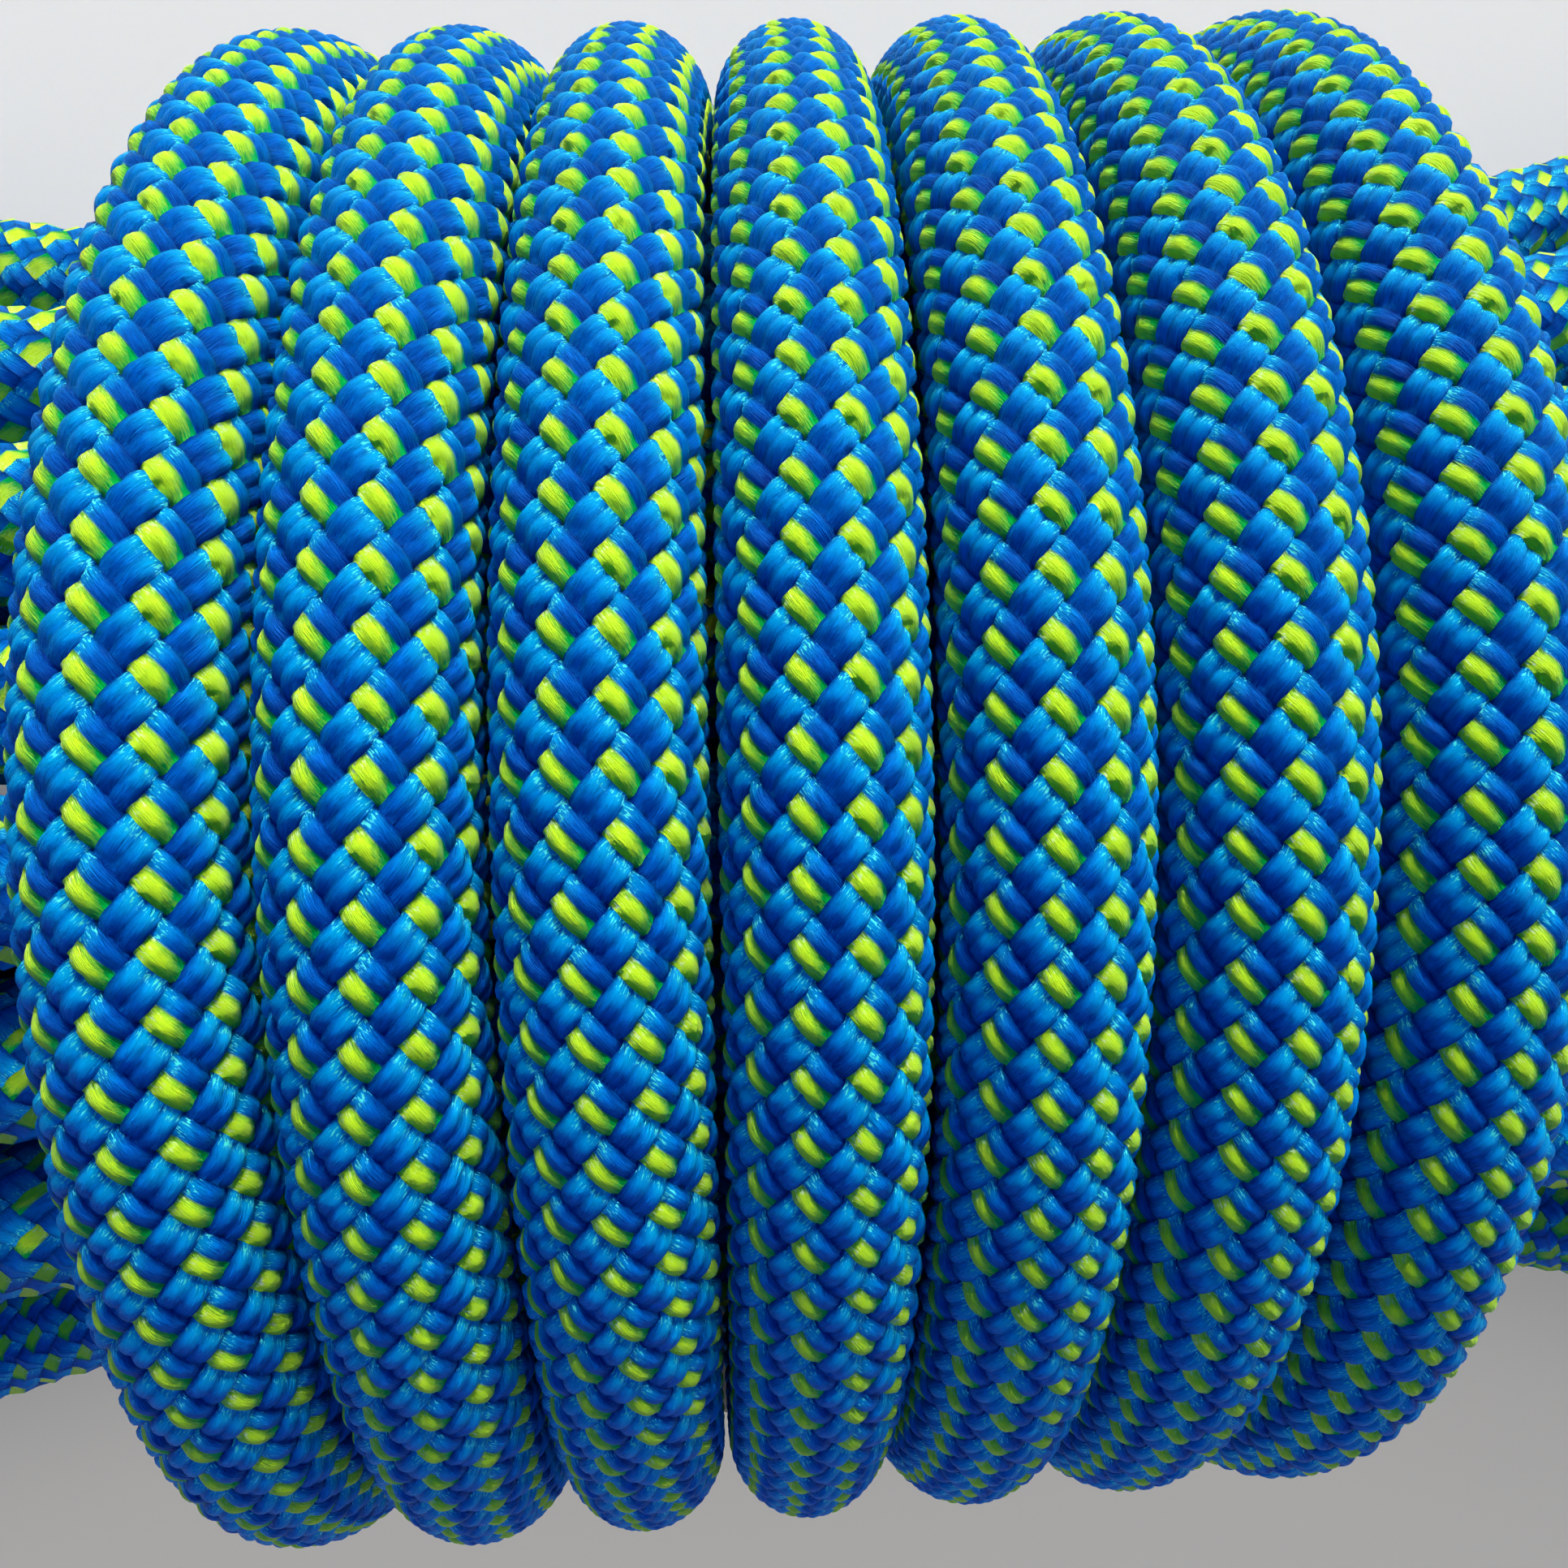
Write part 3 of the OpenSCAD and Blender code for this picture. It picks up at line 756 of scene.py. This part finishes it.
def tip_bumps(z, a, radius):
    """Melted yarn has run and set"""
    lumps = (np.sin(3 * a + 1.1 * z) * np.cos(2 * a - 2.3 * radius + 0.7)
             + 0.6 * np.sin(7 * a + 2 * radius) * np.cos(5 * a - z))
    depth = np.clip(MELT_SINK + MELT_LUMPS * lumps, 0, MELT_MOST)
    return depth * np.clip(z / LIP, 0, 1) * np.clip(radius / 2, 0, 1)


def arc(z0, r0, size, first, last, n=7):
    """Part of a rounded rim, from angle first to last in degrees"""
    return [(z0 + size * math.sin(t), r0 + size * math.cos(t))
            for t in np.radians(np.linspace(first, last, n))]


WALL = (SLEEVE_R - SLEEVE_IN) / 2
MIDDLE_R = SLEEVE_IN + WALL
body = [(z, SLEEVE_R) for z in np.linspace(WALL, SLEEVE_L - WALL, 120)]
SLEEVE = (arc(WALL, MIDDLE_R, WALL, -180, 0) + body[1:-1]
          + arc(SLEEVE_L - WALL, MIDDLE_R, WALL, 0, 180))
FACE_R = ROPE_R - TIP_ROUND
TIP = ([(z, ROPE_R) for z in np.linspace(-TIP_UNDER, TIP_L - TIP_ROUND, 8)]
       + arc(TIP_L - TIP_ROUND, FACE_R, TIP_ROUND, 0, 90)[1:]
       + [(TIP_L - TIP_DISH * (1 - (r / FACE_R) ** 2), r) for r in np.linspace(3.8, 0, 16)])

sleeve, tree, shader = new_material("End sleeve", Specular_IOR_Level=0.5)
place_in = tree.nodes.new("ShaderNodeTexCoord").outputs["Object"]
scuffs = noise(tree, place_in, scale=900.0, detail=4.0, rough=0.7)
worn = noise(tree, place_in, scale=160.0)
dust = ((scuffs + worn * 0.5 - 0.86) * 5.0).clip()
tree.links.new(mix_color(tree, dust, (0.016, 0.016, 0.018), (0.055, 0.057, 0.06)),
               shader.inputs["Base Color"])
tree.links.new((scuffs * 0.25 + worn * 0.15 + 0.12).socket, shader.inputs["Roughness"])
add_bump(tree, shader, scuffs * 0.06 + worn * 0.10)

melted, tree, shader = new_material("Fused tip", Specular_IOR_Level=0.5)
place_in = tree.nodes.new("ShaderNodeTexCoord").outputs["Object"]
swirl = noise(tree, place_in, scale=420.0, detail=3.0, rough=0.6)
streak = noise(tree, place_in, scale=1300.0, detail=3.0, rough=0.6)
blend = mix_color(tree, ((swirl - 0.45) * 6.0).clip(), (0.002, 0.012, 0.07), (0.01, 0.06, 0.03))
tree.links.new(mix_color(tree, ((streak - 0.6) * 5.0).clip(), blend, (0.02, 0.10, 0.26)),
               shader.inputs["Base Color"])
tree.links.new((swirl * 0.3 + 0.15).socket, shader.inputs["Roughness"])
add_bump(tree, shader, swirl * 0.25 + streak * 0.05)


def strand_material(name, light, dark, scale, rough):
    """Twisted yarn or thin tape: fine lines, with darker gaps between them"""
    m, tree, shader = new_material(name, Roughness=rough)
    where = tree.nodes.new("ShaderNodeMapping")
    tree.links.new(tree.nodes.new("ShaderNodeTexCoord").outputs["Object"], where.inputs["Vector"])
    where.inputs["Scale"].default_value = scale
    lines = noise(tree, where.outputs[0], scale=1.0, detail=3.0, rough=0.6)
    tree.links.new(mix_color(tree, ((lines - 0.3) * 2.2).clip(), dark, light),
                   shader.inputs["Base Color"])
    add_bump(tree, shader, lines * 0.2)
    return m


core = strand_material("Core strand", light=(0.88, 0.88, 0.84), dark=(0.62, 0.62, 0.57),
                       scale=(700, 5200, 5200), rough=0.6)
tape = strand_material("Tracer tape", light=(0.92, 0.62, 0.06), dark=(0.66, 0.38, 0.02),
                       scale=(900, 4200, 4200), rough=0.35)
for node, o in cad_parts.items():
    for word, material in (("core_strand", core), ("tracer", tape)):
        if word in node:
            o.data.materials.clear()
            o.data.materials.append(material)
for end, last, before in (("start", route[0], route[1]), ("finish", route[-1], route[-2])):
    way = (last - before) / END_L
    o = turned(f"{end}_sleeve_shrunk", last + (TIP_COVER - SLEEVE_L) * way, way, SLEEVE,
               sleeve_bumps, sleeve)
    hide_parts(f"{end}_end_sleeve")
    o = turned(f"{end}_tip_melted", last, way, TIP, tip_bumps, melted)
    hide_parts(f"{end}_fused_tip")

# ---- floor and light
# The key light is slightly green, so the floor is tinted against it and has a lamp of its own,
# and looks neutral. The sky lamp lights the rope only, mild and blue, from the other side.
FLOOR_HALF = 60.0              # half of its side, in metres
FLOOR_COLOR = (0.604, 0.499, 0.649, 1.0)
BACKGROUND = (0.80, 0.80, 0.80)
DIM_SKY = (0.02, 0.12, 0.18)

floor_me = bpy.data.meshes.new("Floor")
floor_me.from_pydata([(x * FLOOR_HALF, y * FLOOR_HALF, 0) for x, y in
                      ((-1, -1), (1, -1), (1, 1), (-1, 1))], [], [(0, 1, 2, 3)])
floor = bpy.data.objects.new("Floor", floor_me)
bpy.context.scene.collection.objects.link(floor)
pale, tree, shader = new_material("Pale floor", Roughness=1.0, Specular_IOR_Level=0.0,
                                  Base_Color=FLOOR_COLOR)
floor_me.materials.append(pale)


def sun(name, azimuth, elevation, strength, softness, color, only=None):
    """A distant light. Azimuth 0 is over +Y, and grows towards +X. only lists what it lights."""
    data = bpy.data.lights.new(name, "SUN")
    data.energy, data.angle, data.color = strength, math.radians(softness), color
    o = bpy.data.objects.new(name, data)
    bpy.context.scene.collection.objects.link(o)
    a, e = math.radians(azimuth), math.radians(elevation)
    way = Vector((math.sin(a) * math.cos(e), math.cos(a) * math.cos(e), math.sin(e)))
    o.rotation_mode = "QUATERNION"
    o.rotation_quaternion = way.to_track_quat("Z", "Y")
    if only:
        lit = bpy.data.collections.new(name + " lights")
        for x in only:
            lit.objects.link(x)
        o.light_linking.receiver_collection = lit


sun("Key", azimuth=17, elevation=28, strength=4.6, softness=26, color=(1.0, 1.21, 0.93))
sun("Sky on the rope", azimuth=185, elevation=60, strength=0.5, softness=50,
    color=(0.0, 0.15, 1.0), only=ropes)
sun("Sky on the floor", azimuth=185, elevation=80, strength=1.97, softness=90,
    color=(1.0, 1.06, 0.67), only=[floor])

# The camera, reflections and what shines through see a pale background. What lights the scene
# in its place is dim and blue.
world = bpy.data.worlds.new("World")
bpy.context.scene.world = world
world.use_nodes = True
tree = world.node_tree
background = tree.nodes["Background"]
background.inputs["Strength"].default_value = 1.0
rays = tree.nodes.new("ShaderNodeLightPath").outputs
camera_ray, glossy_ray, through_ray = (Sum(tree, rays[f"Is {kind} Ray"])
                                       for kind in ("Camera", "Glossy", "Transmission"))
seen = (camera_ray + glossy_ray + through_ray).clip()
tree.links.new(mix_color(tree, seen, DIM_SKY, BACKGROUND), background.inputs["Color"])
bpy.context.scene.view_settings.view_transform = "Standard"
